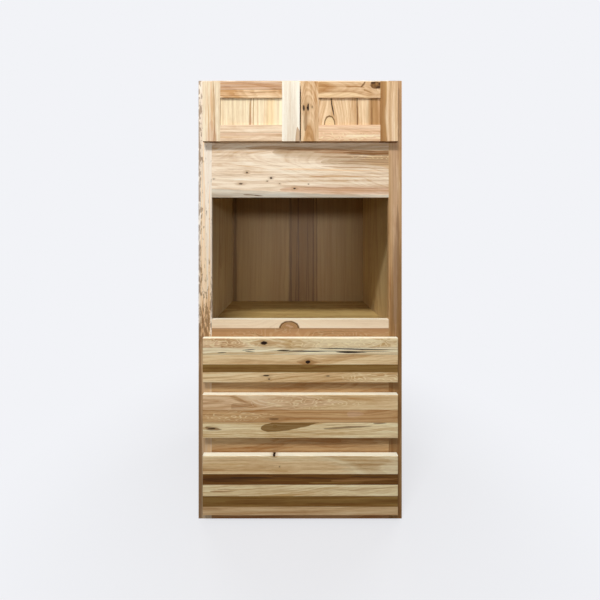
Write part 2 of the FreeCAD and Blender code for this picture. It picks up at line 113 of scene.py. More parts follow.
class Tree:
    """Adds nodes to one shader tree. A value may be a socket, which is joined, or a plain constant."""

    def __init__(self, tree):
        self.tree = tree

    def feed(self, socket, value):
        if isinstance(value, bpy.types.NodeSocket):
            self.tree.links.new(value, socket)
        else:
            socket.default_value = value

    def node(self, kind, inputs=None, **settings):
        made = self.tree.nodes.new("ShaderNode" + kind)
        for key, value in settings.items():
            setattr(made, key, value)
        for key, value in (inputs or {}).items():
            self.feed(made.inputs[key], value)
        return made

    def math(self, operation, *values, clamp=False):
        made = self.node("Math", dict(enumerate(values)), operation=operation, use_clamp=clamp)
        return made.outputs[0]

    def times(self, first, second):
        return self.math("MULTIPLY", first, second)

    def minus(self, first, second):
        return self.math("SUBTRACT", first, second)

    def fused(self, value, factor, offset, clamp=False):
        """A value times a factor, plus an offset."""
        return self.math("MULTIPLY_ADD", value, factor, offset, clamp=clamp)

    def apart(self, first, second):
        """How far two values lie apart."""
        return self.math("ABSOLUTE", self.minus(first, second))

    def centred(self, share):
        """A share from 0 to 1, moved to lie evenly about 0."""
        return self.minus(share, 0.5)

    def vector(self, operation, *values):
        made = self.node("VectorMath", dict(enumerate(values)), operation=operation)
        return made.outputs["Value" if operation == "LENGTH" else "Vector"]

    def split(self, vector):
        return self.node("SeparateXYZ", {0: vector}).outputs

    def join(self, x, y, z):
        return self.node("CombineXYZ", {0: x, 1: y, 2: z}).outputs[0]

    def smooth(self, value, start, end):
        """0 at start and 1 at end, with a soft rise between."""
        made = self.node("MapRange", {"Value": value, "From Min": start, "From Max": end},
                         interpolation_type="SMOOTHSTEP")
        return made.outputs[0]

    def mix(self, share, first, second, blend="MIX"):
        made = self.node("Mix", {0: share, 6: first, 7: second}, data_type="RGBA", blend_type=blend)
        return made.outputs[2]

    def tint(self, colour, factor):
        """A colour multiplied by another."""
        return self.mix(1.0, colour, factor, "MULTIPLY")

    def noise(self, vector, along, across, detail=2.0, roughness=0.5, output="Fac"):
        """Noise with so many cells per metre along the grain and across it."""
        scaled = self.vector("MULTIPLY", vector, (along, across, across))
        made = self.node("TexNoise", {"Vector": scaled, "Scale": 1.0, "Detail": detail,
                                      "Roughness": roughness})
        return made.outputs[output]

    def fill(self, node, **inputs):
        """Feeds a node's inputs by name, with spaces written as underscores."""
        for key, value in inputs.items():
            self.feed(node.inputs[key.replace("_", " ")], value)

    def group(self, group, **inputs):
        made = self.tree.nodes.new("ShaderNodeGroup")
        made.node_tree = group
        self.fill(made, **inputs)
        return made.outputs


def new_group(name, inputs, outputs):
    """An empty node group with sockets named by kind, its tree, its inputs and its outputs."""
    group = bpy.data.node_groups.new(name, "ShaderNodeTree")
    for way, sockets in (("INPUT", inputs), ("OUTPUT", outputs)):
        for kind, keys in sockets.items():
            for key in keys.split(", "):
                group.interface.new_socket(key, in_out=way, socket_type="NodeSocket" + kind)
    start = group.nodes.new("NodeGroupInput").outputs
    end = group.nodes.new("NodeGroupOutput").inputs
    return group, Tree(group), start, end


# Growth: a ring's width and ripple, where its late wood starts and is full, how faint the faintest ring is,
# and how ragged and soft the heartwood's edge is. Then where noise starts to show and shows fully.
RING_WIDTH, RIPPLE, LATE, FAINTEST_RING = 0.0046, 0.007, (0.3, 0.95), 0.25
HEART_RAGGED, HEART_SOFT = 0.014, 0.0025
BANDS_PER_METRE, SEED_STEP = 75.0, (7.0, 3.0, 5.0)
BANDS, PORES, PALE_FIBRES, DARK_FIBRES = (0.38, 0.68), (0.58, 0.72), (0.5, 0.72), (0.5, 0.28)

# Colour: the weight of each layer of shade, what full shade and dark fibres multiply it by, and how far pale
# fibres lift it. Noise lies mostly just below its half.
LATE_WEIGHT, BAND_WEIGHT, CLOUD_WEIGHT, PORE_WEIGHT = 0.45, 0.75, 1.2, 0.25
THREAD_WEIGHT, FLECK_SHARE = 2.7, 0.6
SHADE_TINT, FIBRE_TINT, FIBRE_LIFT = (0.62, 0.45, 0.29, 1.0), (0.6, 0.48, 0.36, 1.0), 0.9
USUAL_NOISE = 0.47
GRAIN_ROUGH, ROUGH_SPREAD, LATE_HEIGHT = 0.58, 0.2, 0.5


def hickory_grain_group():
    """Growth rings round a pith that lies behind the board and tilts through it. The ring radius is the
    distance from that line, swayed by slow noise, so a face shows flames and straight lines where a real
    one would. Heartwood lies inside the heart radius, and fibres run through as paler and darker threads."""
    group, t, given, made = new_group(
        "hickory grain",
        {"Vector": "Vector", "Color": "Sap, Heart",
         "Float": "Seed, Pith Across, Pith Depth, Tilt, Heart Radius, Wander, Figure, Fibre"},
        {"Color": "Color", "Float": "Height, Roughness"})
    spot = t.vector("MULTIPLY_ADD", given["Seed"], SEED_STEP, given["Vector"])
    along, across, deep = t.split(given["Vector"])
    slow = t.vector("SUBTRACT", t.noise(spot, 1.6, 8, output="Color"), (0.5, 0.5, 0.5))
    sway = t.split(t.vector("MULTIPLY", slow, given["Wander"]))
    side = t.math("ADD", t.minus(across, given["Pith Across"]), sway[0])
    back = t.math("ADD", t.fused(along, given["Tilt"], given["Pith Depth"]), t.math("ADD", deep, sway[1]))
    ripple = t.centred(t.noise(spot, 6, 50, 3))
    radius = t.fused(ripple, RIPPLE, t.vector("LENGTH", t.join(side, back, 0.0)))

    ring = t.math("DIVIDE", radius, RING_WIDTH)
    wet_or_dry = t.node("TexWhiteNoise", {"W": t.math("ADD", t.math("FLOOR", ring), given["Seed"])},
                        noise_dimensions="1D").outputs["Value"]
    late = t.times(t.smooth(t.math("FRACT", ring), *LATE),
                   t.fused(wet_or_dry, 1 - FAINTEST_RING, FAINTEST_RING))
    bands = t.node("TexNoise", {"W": t.fused(radius, BANDS_PER_METRE, given["Seed"]),
                                "Scale": 1.0, "Detail": 3.0, "Roughness": 0.6},
                   noise_dimensions="1D").outputs["Fac"]
    streaks = t.noise(spot, 2.5, 110, 3)
    flecks = t.noise(spot, 22, 260, 2, 0.6)
    clouds = t.noise(spot, 1.2, 14)
    fibres = t.noise(spot, 3, 60, 4, 0.66)
    pores = t.times(t.smooth(t.noise(spot, 70, 1500, 1), *PORES), t.minus(1.0, late))

    edge = t.fused(t.centred(streaks), HEART_RAGGED, radius)
    outside = t.minus(edge, given["Heart Radius"])
    ground = t.mix(t.smooth(outside, HEART_SOFT, -HEART_SOFT), given["Sap"], given["Heart"])
    lines = t.fused(late, LATE_WEIGHT, t.times(t.smooth(bands, *BANDS), BAND_WEIGHT))
    shade = t.times(lines, given["Figure"])
    thread = t.fused(t.centred(flecks), FLECK_SHARE, t.minus(streaks, USUAL_NOISE))
    shade = t.fused(thread, t.times(given["Fibre"], THREAD_WEIGHT), shade)
    shade = t.fused(t.minus(clouds, USUAL_NOISE), CLOUD_WEIGHT, shade)
    shade = t.fused(pores, PORE_WEIGHT, shade, clamp=True)
    darker = t.tint(ground, SHADE_TINT)
    colour = t.mix(shade, ground, darker)
    raised = t.vector("MULTIPLY_ADD", colour, (-FIBRE_LIFT,) * 3, (1 + FIBRE_LIFT,) * 3)
    lighter = t.vector("MULTIPLY", colour, raised)
    deeper = t.tint(colour, FIBRE_TINT)
    colour = t.mix(t.times(t.smooth(fibres, *PALE_FIBRES), given["Fibre"]), colour, lighter)
    colour = t.mix(t.times(t.smooth(fibres, *DARK_FIBRES), given["Fibre"]), colour, deeper)
    t.feed(made["Color"], colour)
    t.feed(made["Height"], t.minus(t.times(late, LATE_HEIGHT), pores))
    t.feed(made["Roughness"], t.fused(streaks, ROUGH_SPREAD, GRAIN_ROUGH))
    return group


# Parts of a knot in units of its size: where halo, core and rim end and are full, and rings per size
HALO, CORE, RIM = (5.0, 0.6), (1.15, 0.8), (0.16, 0.04)
KNOT_RINGS, KNOT_PULL = 5.0, -0.8


def knot_group():
    """A knot: the distance from its centre in units of its own size, made ragged by noise, gives a dark
    core, a brown halo, fine rings and a rim. The pull draws the grain near it towards its middle line, so
    that lines pass round it."""
    group, t, given, made = new_group(
        "knot", {"Vector": "Vector, Centre, Size", "Float": "Ragged"},
        {"Float": "Pull, Core, Halo, Rings, Rim"})
    away = t.vector("SUBTRACT", given["Vector"], given["Centre"])
    ragged = t.centred(t.noise(given["Vector"], 70, 130, 3, 0.6))
    flat = t.vector("MULTIPLY", t.vector("DIVIDE", away, given["Size"]), (1.0, 1.0, 0.0))
    reach = t.fused(ragged, given["Ragged"], t.vector("LENGTH", flat))
    halo = t.smooth(reach, *HALO)
    t.feed(made["Pull"], t.times(t.split(away)[1], t.times(halo, KNOT_PULL)))
    t.feed(made["Core"], t.smooth(reach, *CORE))
    t.feed(made["Rim"], t.smooth(t.apart(reach, 1.0), *RIM))
    t.feed(made["Halo"], t.times(halo, halo))
    t.feed(made["Rings"], t.smooth(t.math("FRACT", t.times(reach, KNOT_RINGS)), *LATE))
    return group


# What is trimmed off a streak's half width, and how far threads break up its edge
TIP_TRIM = 0.0001
BREAK_SHARE, BREAK_LIMIT = 2.4, 0.015


def streak_group():
    """A split, dark streak or flame of heartwood: a band between two ends whose half width swells and
    tapers with the share t of its length as t^blunt (1 - t), and whose middle line wanders a little. The
    softer it is, the more the threads of the grain break it up."""
    group, t, given, made = new_group(
        "streak", {"Vector": "Vector, Start, Run", "Float": "Width, Blunt, Soft, Wander"}, {"Float": "Mask"})
    away = t.vector("SUBTRACT", given["Vector"], given["Start"])
    along, across, _ = t.split(away)
    run, rise, _ = t.split(given["Run"])
    share = t.math("DIVIDE", along, run)
    drift = t.centred(t.noise(given["Vector"], 9, 30, 3, 0.6))
    middle = t.fused(share, rise, t.times(drift, given["Wander"]))
    inside = t.math("MULTIPLY", share, 1.0, clamp=True)
    swell = t.times(t.math("POWER", inside, given["Blunt"]), t.minus(1.0, inside))
    half = t.fused(t.times(swell, given["Width"]), 2.0, -TIP_TRIM)
    threads = t.centred(t.noise(given["Vector"], 5, 150, 3, 0.6))
    broken = t.times(t.math("MINIMUM", half, BREAK_LIMIT), t.times(given["Soft"], BREAK_SHARE))
    ragged = t.times(threads, broken)
    off = t.math("ADD", t.apart(across, middle), ragged)
    inner = t.times(half, t.minus(1.0, given["Soft"]))
    full = t.times(t.smooth(off, half, inner), t.math("GREATER_THAN", half, 0.0))
    thinned = t.fused(threads, given["Soft"], 1.0, clamp=True)
    t.feed(made["Mask"], t.times(full, thinned))
    return group


WORN_TINT, WORN_CLOUDS = (0.78, 0.76, 0.73, 1.0), (0.45, 0.75)


def handled_finish_group():
    """Slow cloudiness and fine grit that keep a metal, enamel or plastic finish from looking flat."""
    group, t, given, made = new_group(
        "handled finish", {"Vector": "Vector", "Color": "Base", "Float": "Dull, Gloss"},
        {"Color": "Color", "Float": "Roughness, Height"})
    clouds = t.noise(given["Vector"], 40, 40, 3)
    grit = t.noise(given["Vector"], 900, 900, 1)
    worn = t.tint(given["Base"], WORN_TINT)
    t.feed(made["Color"], t.mix(t.smooth(clouds, *WORN_CLOUDS), given["Base"], worn))
    t.feed(made["Roughness"], t.fused(clouds, given["Dull"], given["Gloss"]))
    t.feed(made["Height"], grit)
    return group


GRAIN = hickory_grain_group()
KNOT = knot_group()
STREAK = streak_group()
FINISH = handled_finish_group()

# One stave of a board: its upper edge across the grain, its sapwood and heartwood, the radius that is
# heartwood, and how far behind the face the pith lies and tilts per metre
Stave = namedtuple("Stave", "top sap heart core depth tilt")

# One knot: its middle, its half sizes along and across, how strongly it shows, and the tones of its core
# and of its rim, if it has one
Knot = namedtuple("Knot", "along across long wide dark tone rim", defaults=[BARK, None])

# One streak: its start, how far it runs and rises, its width, the exponent that makes its start blunt, how
# soft its edge is, how far it wanders, its tone and how strongly that shows
Streak = namedtuple("Streak", "along across run rise width blunt soft wander tone share")


def crack(along, across, run, rise, width):
    """A crack that has opened along the grain."""
    return Streak(along, across, run, rise, width, blunt=0.7, soft=0.2, wander=5, tone=BARK, share=1.0)


def vein(along, across, run, rise, width, shade=BROWN, share=0.75, blunt=0.5, soft=0.8, wander=8):
    """A soft streak in the grain."""
    return Streak(along, across, run, rise, width, blunt, soft, wander, shade, share)


def flame(along, across, run, rise, width, shade, share, blunt=0.25):
    """A tongue of heartwood with a clear edge, blunt at its start."""
    return Streak(along, across, run, rise, width, blunt, soft=0.12, wander=12, tone=shade, share=share)


def curly(along, across, run, rise, width, share=0.6):
    """A stretch of curly figure, where fine pale lines wind through the grain."""
    return vein(along, across, run, rise, width, CURL, share)


# Contours in curly figure: how many levels the noise is cut into, and how wide their lines are
CURL_LEVELS, CURL_LINE = 9.0, (0.22, 0.06)


def curl_lines(t, board):
    """Pale winding lines: the levels of a stretched noise, at even steps, drawn as contours."""
    level = t.times(t.noise(board, 13, 46, 1), CURL_LEVELS)
    off = t.math("ABSOLUTE", t.centred(t.math("FRACT", level)))
    return t.smooth(off, *CURL_LINE)


def board_axes(t, node, grain):
    """Object coordinates from a node's lowest corner, ordered as along, across and into the board."""
    place = t.node("TexCoord").outputs["Object"]
    if node:
        place = t.vector("SUBTRACT", place, tuple(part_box(node)[0]))
    xyz = dict(zip("XYZ", t.split(place)))
    return t.join(*[xyz[axis] for axis in grain])


# A colour ramp holds values from 0 to 1, so its lengths are shares of SPAN and its tilts lie within TILTS.
# Each stave has its own step of the seed.
SPAN, TILTS = 0.4, 1.0
STAVE_STEP, SEED_SPREAD = 0.37, 9.0


def stave_inputs(t, board, staves, seed):
    """The grain group's inputs, from one stave or chosen by height from several."""
    if len(staves) == 1:
        one = staves[0]
        return {"Seed": seed, "Sap": one.sap, "Heart": one.heart, "Heart_Radius": one.core * MM,
                "Pith_Depth": one.depth * MM, "Tilt": one.tilt}
    height = staves[-1].top * MM
    share = t.math("DIVIDE", t.split(board)[1], height)
    starts = [0.0] + [stave.top * MM / height for stave in staves[:-1]]

    def choose(colours):
        """The colour of the stave at this height."""
        ramp = t.node("ValToRGB", {0: share})
        ramp.color_ramp.interpolation = "CONSTANT"
        while len(ramp.color_ramp.elements) < len(staves):
            ramp.color_ramp.elements.new(1.0)
        for stop, start, colour in zip(ramp.color_ramp.elements, starts, colours):
            stop.position = start
            stop.color = colour
        return ramp.outputs

    sap = choose([stave.sap for stave in staves])["Color"]
    heart = choose([stave.heart for stave in staves])["Color"]
    growth = choose([(stave.core * MM / SPAN, stave.depth * MM / SPAN, stave.tilt / TILTS / 2 + 0.5,
                      (STAVE_STEP * (i + 1)) % 1) for i, stave in enumerate(staves)])
    core, depth, tilt = t.split(growth["Color"])
    return {"Seed": t.fused(growth["Alpha"], SEED_SPREAD, seed), "Sap": sap, "Heart": heart,
            "Heart_Radius": t.times(core, SPAN), "Pith_Depth": t.times(depth, SPAN),
            "Tilt": t.fused(tilt, 2 * TILTS, -TILTS)}


def own_stave(t, board, staves, across):
    """1 on the stave that holds a place across the board, and 0 beyond its glue lines."""
    inside = 1.0
    for stave in staves[:-1]:
        beyond = "GREATER_THAN" if across > stave.top else "LESS_THAN"
        inside = t.times(inside, t.math(beyond, t.split(board)[1], stave.top * MM))
    return inside


# How much of the grain shows through a streak, lifted to make up for its own dark lines
GRAIN_KEPT, GRAIN_LIFT = 0.7, 1.12


def through_grain(t, colour, sap, shade):
    """A shade that the grain shows through: mostly the wood's colour, moved as the shade lies from sap."""
    tint = np.divide(shade[:3], sap[:3]) * GRAIN_LIFT
    return t.mix(GRAIN_KEPT, shade, t.tint(colour, (*tint.tolist(), 1.0)))


# A knot's outline is ragged by so many millimetres, up to a share of its size
RAGGED, MOST_RAGGED = 5.0, 1.2


def bend_round_knots(t, board, knots):
    """The board's axes, bent so that the grain passes round its knots, and each knot with its masks."""
    bent, marks = board, []
    for knot in knots:
        found = t.group(KNOT, Vector=board, Centre=(knot.along * MM, knot.across * MM, 0.0),
                        Size=(knot.long * MM, knot.wide * MM, 1.0),
                        Ragged=min(MOST_RAGGED, RAGGED / knot.wide))
        bent = t.vector("ADD", bent, t.join(0.0, found["Pull"], 0.0))
        marks.append((knot, found))
    return bent, marks


# How deep splits and knots are sunk, and how strongly a knot's rings and halo show
SPLIT_DEPTH, KNOT_DEPTH = -4.0, -3.0
HALO_RINGS, CORE_RINGS, HALO_SHARE = 0.5, 0.4, 0.5


def lay_streak(t, streak, board, bent, staves, colour, height):
    """A streak laid over the colour of its own stave. A split is sunk, and curly figure is fine lines."""
    mask = t.group(STREAK, Vector=bent, Start=(streak.along * MM, streak.across * MM, 0.0),
                   Run=(streak.run * MM, streak.rise * MM, 0.0), Width=streak.width * MM,
                   Blunt=streak.blunt, Soft=streak.soft, Wander=streak.wander * MM)["Mask"]
    mask = t.times(mask, own_stave(t, board, staves, streak.across))
    shade = streak.tone
    if shade == BARK:
        height = t.fused(mask, SPLIT_DEPTH, height)
    elif shade == CURL:
        mask = t.times(mask, curl_lines(t, bent))
    else:
        own = next((stave for stave in staves if streak.across <= stave.top), staves[-1])
        shade = through_grain(t, colour, own.sap, shade)
    return t.mix(t.times(mask, streak.share), colour, shade), height


def lay_knot(t, knot, found, board, staves, colour, height):
    """A knot laid over the colour of its own stave. One of bark is sunk and has a ringed halo."""
    here = t.times(own_stave(t, board, staves, knot.across), knot.dark)
    ringed = t.tint(knot.tone, TAN)
    core = t.mix(t.times(found["Rings"], CORE_RINGS), knot.tone, ringed)
    if knot.tone == BARK:
        halo = t.mix(t.times(found["Rings"], HALO_RINGS), HEART, BROWN)
        colour = t.mix(t.times(t.times(found["Halo"], HALO_SHARE), here), colour, halo)
        height = t.fused(found["Core"], KNOT_DEPTH, height)
    colour = t.mix(t.times(found["Core"], here), colour, core)
    if knot.rim:
        colour = t.mix(t.times(found["Rim"], here), colour, knot.rim)
    return colour, height


GLUE_LINE, GLUE_SHARE = (0.0008, 0.0002), 0.7


def lay_glue_lines(t, board, staves, colour):
    """A thin dark line between each two staves."""
    for stave in staves[:-1]:
        off = t.apart(t.split(board)[1], stave.top * MM)
        colour = t.mix(t.times(t.smooth(off, *GLUE_LINE), GLUE_SHARE), colour, GLUE)
    return colour


# Bark flecks in shares of the rise: where they start, are full and leave the middle of the board. Then how
# far their noise is lifted and how strongly they show.
BARK_START, BARK_FULL, BARK_ALL_OVER = 0.55, 0.68, 0.6
BARK_LIFT, BARK_FLECKS, BARK_SHARE = 0.2, (0.62, 0.68), 0.65


def lay_bark(t, board, edge, rise, colour):
    """Flecks of bark within an edge of the board, and all over it just below a rise along the grain."""
    flecks = t.noise(board, 24, 110, 3, 0.65)
    near = t.math("MAXIMUM", t.smooth(t.split(board)[1], edge * MM, 0.0),
                  t.smooth(t.split(board)[0], rise * MM, BARK_ALL_OVER * rise * MM))
    worn = t.smooth(t.fused(near, BARK_LIFT, flecks), *BARK_FLECKS)
    started = t.smooth(t.split(board)[0], BARK_START * rise * MM, BARK_FULL * rise * MM)
    return t.mix(t.times(t.times(worn, started), BARK_SHARE), colour, BROWN)


# Two plies of plywood and the step between them, how much darker end grain is, and how straight a face looks
# along an axis where it starts to count and counts fully
TWO_PLIES, PLY_STEP, END_SHARE = 0.0032, (0.45, 0.55), 0.45
FACING, OUT_FACING, EDGE_ON = (0.6, 0.95), (0.5, 0.9), (0.6, 0.3)


def lay_cut_edges(t, board, facing, plies, colour):
    """Plies on the edges of plywood, or darker end grain on the ends of a solid board."""
    if plies:
        ply = t.smooth(t.math("FRACT", t.math("DIVIDE", t.split(board)[2], TWO_PLIES)), *PLY_STEP)
        edge = t.smooth(t.math("ABSOLUTE", facing[2]), *EDGE_ON)
        return t.mix(edge, colour, t.mix(ply, BIRCH, TAN))
    end = t.smooth(t.math("ABSOLUTE", facing[0]), *FACING)
    return t.mix(t.times(end, END_SHARE), colour, t.tint(colour, HEART))


def new_material(name):
    """A new material with its tree and its Principled shader."""
    material = bpy.data.materials.new(name)
    material.use_nodes = True
    t = Tree(material.node_tree)
    return material, t, material.node_tree.nodes["Principled BSDF"]


GRAIN_BUMP, GRAIN_DEPTH, GRIT_DEPTH = 0.35, 0.0004, 0.0002


def wood(name, grain, staves, node=None, pith=60, seed=1.0, wander=30, figure=0.8, fibre=0.55, knots=(),
         streaks=(), plies=False, outside=0, bark_edge=0, bark_rise=0, pale_edge=0.0, sheen=0.15, rough=1.0):
    """A hickory board with its own growth, knots and streaks, placed from a node's corner or, with no node,
    from the part's origin. Plies make its edges plywood. The face that looks outside, up or down its depth,
    is lifted paler and without streaks, free of the painted shade that the veneer tones give inner faces.
    Bark flecks lie within the bark edge and all over just below the bark rise. The painted top highlight
    is how strongly a near-white painted highlight covers faces that look up across the grain. Rough scales
    its roughness."""
    material, t, shader = new_material(name)
    board = board_axes(t, node, grain)
    bent, marks = bend_round_knots(t, board, knots)
    grown = t.group(GRAIN, Vector=bent, Pith_Across=pith * MM, Wander=wander * MM, Figure=figure,
                    Fibre=fibre, **stave_inputs(t, board, staves, seed))
    colour, height = grown["Color"], grown["Height"]
    bare = colour
    facing = t.split(t.node("TexCoord").outputs["Normal"])
    facing = [facing["XYZ".index(axis)] for axis in grain]
    # Painted highlight: faces that look up across the grain are laid over with a near-white tone
    if pale_edge:
        upward = t.smooth(facing[1], *FACING)
        colour = t.mix(t.times(upward, pale_edge), colour, PAINTED_TOP_HIGHLIGHT)
    for streak in streaks:
        colour, height = lay_streak(t, streak, board, bent, staves, colour, height)
    for knot, found in marks:
        colour, height = lay_knot(t, knot, found, board, staves, colour, height)
    colour = lay_glue_lines(t, board, staves, colour)
    if bark_edge:
        colour = lay_bark(t, board, bark_edge, bark_rise, colour)
    # Painted shade lifted off: a face that looks outside gets the grain's own colour, multiplied paler and
    # without streaks
    if outside:
        out = t.smooth(t.times(facing[2], outside), *OUT_FACING)
        colour = t.mix(out, colour, t.tint(bare, OUTSIDE_SHADE_LIFT))
    colour = lay_cut_edges(t, board, facing, plies, colour)
    dull = t.times(grown["Roughness"], rough)
    bump = t.node("Bump", {"Strength": GRAIN_BUMP, "Distance": GRAIN_DEPTH, "Height": height})
    t.fill(shader, Base_Color=colour, Roughness=dull, Specular_IOR_Level=sheen, Normal=bump.outputs[0])
    return material


def finish(name, base, gloss, dull=0.15, metallic=0.0, grit=0.1):
    """A metal, enamel or plastic surface with light signs of handling."""
    material, t, shader = new_material(name)
    made = t.group(FINISH, Vector=t.node("TexCoord").outputs["Object"], Base=base, Gloss=gloss, Dull=dull)
    bump = t.node("Bump", {"Strength": grit, "Distance": GRIT_DEPTH, "Height": made["Height"]})
    t.fill(shader, Base_Color=made["Color"], Roughness=made["Roughness"], Metallic=metallic,
           Normal=bump.outputs[0])
    return material


def dress(material, *names):
    """Gives CAD nodes a material in place of their own."""
    for name in names:
        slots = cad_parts[name].data.materials
        slots.clear()
        slots.append(material)


def dress_board(node, grain, staves, **growth):
    """Gives one CAD node a wood of its own."""
    dress(wood(node.replace("_", " ") + " wood", grain, staves, node, **growth), node)


def plain(sap, heart, core=0, depth=120, tilt=0.05):
    """A board of one stave."""
    return [Stave(0, sap, heart, core, depth, tilt)]


# Face frame: stiles with upright grain and rails with level grain, toned and marked one by one

dress_board(
    "left_stile", "ZXY", plain(SHELL, PINK, 0, 110, -0.03), pith=70, seed=2.0, wander=60, figure=0.05,
    fibre=0.32, bark_edge=24, bark_rise=1150,
    streaks=[vein(60, 9, 1420, 4, 15, PEACH, 0.9), vein(100, 24, 1600, -3, 16, PEACH, 0.8),
             vein(80, 42, 1330, 3, 16, PEACH, 0.9), vein(300, 32, 1000, -2, 9, STRAW, 0.6),
             vein(700, 34, 260, 6, 26, TAN, 0.7), vein(740, 14, 200, 6, 12, HEART, 0.6),
             vein(-1200, 27, 1990, 0, 500, GREY_TAN, 0.95, soft=0.3),
             vein(-500, 6, 1400, 0, 22, GREY_UMBER, 0.95)])
dress_board(
    "right_stile", "ZXY", plain(TAN, HEART, 60, 75, 0.02), pith=20, seed=5.0, wander=25, figure=0.6,
    streaks=[vein(-1400, 30, 2700, 8, 160, BROWN, 0.68),
             vein(700, 28, 2200, 0, 70, ROSE, 0.6, blunt=1.0),
             vein(800, 28, 2200, 0, 80, GREY_UMBER, 0.3), vein(-400, 14, 2900, 4, 3, HEART, 0.6),
             vein(-300, 42, 2700, -6, 3, HEART, 0.6), vein(-200, 26, 2500, 5, 3, RED_TAN, 0.7),
             vein(500, 50, 1700, -2, 8, HEART, 0.5)])
dress_board("top_rail", "XZY", plain(CREAM, TAN), seed=3.3)
dress_board(
    "oven_head_rail", "XZY", plain(ROSE_CREAM, GOLD, 60, 150, -0.14), pith=150, seed=1.4, wander=110,
    figure=0.42,
    knots=[Knot(165, 103, 5, 4, 0.8), Knot(265, 80, 5, 4, 0.95), Knot(249, 67, 3, 2, 0.8),
           Knot(139, 56, 9, 3, 0.9), Knot(362, 37, 6, 3, 0.95), Knot(300, 57, 3, 2, 0.6),
           Knot(419, 55, 2, 2, 0.7), Knot(29, 76, 3, 2, 0.6)],
    streaks=[flame(-260, 6, 950, -6, 32, GREY_SAP, 0.9), flame(-100, 3, 1300, 0, 14, GREY_SAP, 0.8),
             vein(150, 12, 70, -4, 5), vein(196, 8, 40, -2, 5), vein(270, 186, 900, -6, 62, GREY_TAN, 0.9),
             vein(160, 206, 440, -8, 16, HEART, 0.6), vein(330, 197, 480, -8, 9, RED_TAN, 0.8),
             vein(440, 186, 420, -10, 10, RED_TAN, 0.8),
             vein(560, 183, 450, -2, 18, UMBER, 0.95, blunt=0.6, soft=0.75, wander=14),
             vein(575, 177, 210, -4, 3, BROWN, 0.7), vein(600, 165, 190, -6, 3, BROWN, 0.6),
             vein(550, 152, 230, -6, 3, BROWN, 0.6), vein(490, 197, 280, -10, 3, BROWN, 0.6),
             curly(590, 166, 250, -4, 18), vein(470, 168, 380, -6, 5, HEART, 0.8),
             vein(590, 158, 240, -6, 6, HEART, 0.8), vein(500, 150, 330, -8, 5, HEART, 0.7),
             vein(540, 139, 300, -4, 5, HEART, 0.7), vein(470, 128, 340, -10, 5, RED_TAN, 0.8),
             vein(470, 146, 460, -4, 40, GREY_TAN, 0.85), vein(70, 140, 200, -24, 6, TAN, 0.5),
             vein(400, 41, 460, -4, 7, RED_TAN, 0.75), vein(480, 31, 380, -6, 8, TAN, 0.8),
             vein(420, 88, 400, -4, 6, TAN, 0.8), vein(300, 32, 700, -6, 34, ROSE, 1.0),
             vein(300, 118, 480, -10, 7, PEACH, 0.9)])
dress_board(
    "oven_sill_rail", "XZY",
    [Stave(45.5, RED_TAN, TAN, 95, 90, 0.03), Stave(82, BLUSH, BLUSH, 140, 140, 0.05)],
    pith=20, seed=6.1, wander=50, figure=0.05, fibre=0.22, pale_edge=0.8,
    knots=[Knot(340, 46, 38, 27, 0.95, HEART, BROWN), Knot(334, 57, 9, 4, 0.6, ROSE),
           Knot(346, 52, 10, 4, 0.6, ROSE), Knot(316, 24, 30, 16, 0.0)],
    streaks=[vein(180, 26, 420, -4, 6, UMBER, 0.8), vein(420, 34, 300, -4, 5, UMBER, 0.8),
             vein(-40, 32, 260, 4, 5, UMBER, 0.7), vein(560, 14, 240, 4, 5, UMBER, 0.7),
             vein(-300, 20, 1500, 0, 60, UMBER, 0.35), curly(80, 22, 800, 0, 40, 0.15)])
dress_board("upper_drawer_rail", "XZY", plain(RAIL_TAN, HEART, 70, 90), seed=7.2)
dress_board("lower_drawer_rail", "XZY", plain(RAIL_TAN, HEART, 60, 80, 0.03), seed=8.4, wander=50)
dress_board("bottom_rail", "XZY", plain(RED_TAN, HEART, 80, 60), seed=9.0)


# Doors, each piece a different board: pale sapwood on the left door, more heartwood on the right

dress_board(
    "left_door_hinge_stile", "ZXY", plain(CREAM, GOLD, 0, 140, 0.02), pith=30, seed=2.7, wander=40,
    figure=0.35,
    streaks=[vein(-10, 52, 260, -8, 9, HEART, 0.7), vein(40, 40, 240, -6, 12, GOLD, 0.8),
             vein(-20, 26, 300, -6, 5, TAN, 0.7), vein(60, 14, 220, 2, 4, TAN, 0.6),
             vein(-30, 36, 120, 0, 46, ROSE, 0.6), vein(-20, 44, 90, 6, 8, RED_TAN, 0.7)])
dress_board(
    "left_door_top_rail", "XZY",
    [Stave(32, PEACH, PINK, 0, 70, 0.1), Stave(66, ROSE, PEACH, 45, 60, 0.08)],
    pith=10, seed=4.2, wander=45,
    streaks=[vein(-30, 57, 330, -4, 7, RED_TAN, 0.9), vein(70, 45, 260, 3, 6, RED_TAN, 0.8),
             vein(-20, 40, 160, 2, 5, RED_TAN, 0.8), vein(70, 24, 130, -6, 7, RED_TAN, 0.6),
             vein(130, 20, 160, 8, 6, HEART, 0.6), vein(-20, 8, 220, 3, 5, RED_TAN, 0.7)])
dress_board(
    "left_door_bottom_rail", "XZY",
    [Stave(36, PINK, ROSE, 0, 90, 0.06), Stave(66, PINK, TAN, 0, 120, 0.05)],
    pith=40, seed=5.5, wander=40, figure=0.3,
    streaks=[vein(-40, 30, 340, -4, 12, ROSE, 0.7), vein(-30, 16, 200, 2, 6, TAN, 0.6)])
dress_board(
    "left_door_panel", "ZXY", plain(HONEY_CREAM, CREAM, 0, 160, 0.02), seed=6.6, figure=0.22, fibre=0.4,
    streaks=[vein(-40, 124, 220, 12, 9, HEART, 0.85), vein(-30, 142, 240, 0, 6, HEART, 0.8),
             vein(-10, 128, 70, 4, 14, ROSE, 0.7), vein(-60, 160, 300, 0, 8, TAN, 0.6),
             vein(-60, 210, 320, 4, 40, STRAW, 0.9), vein(-40, 186, 280, 2, 5, GOLD, 0.7)])
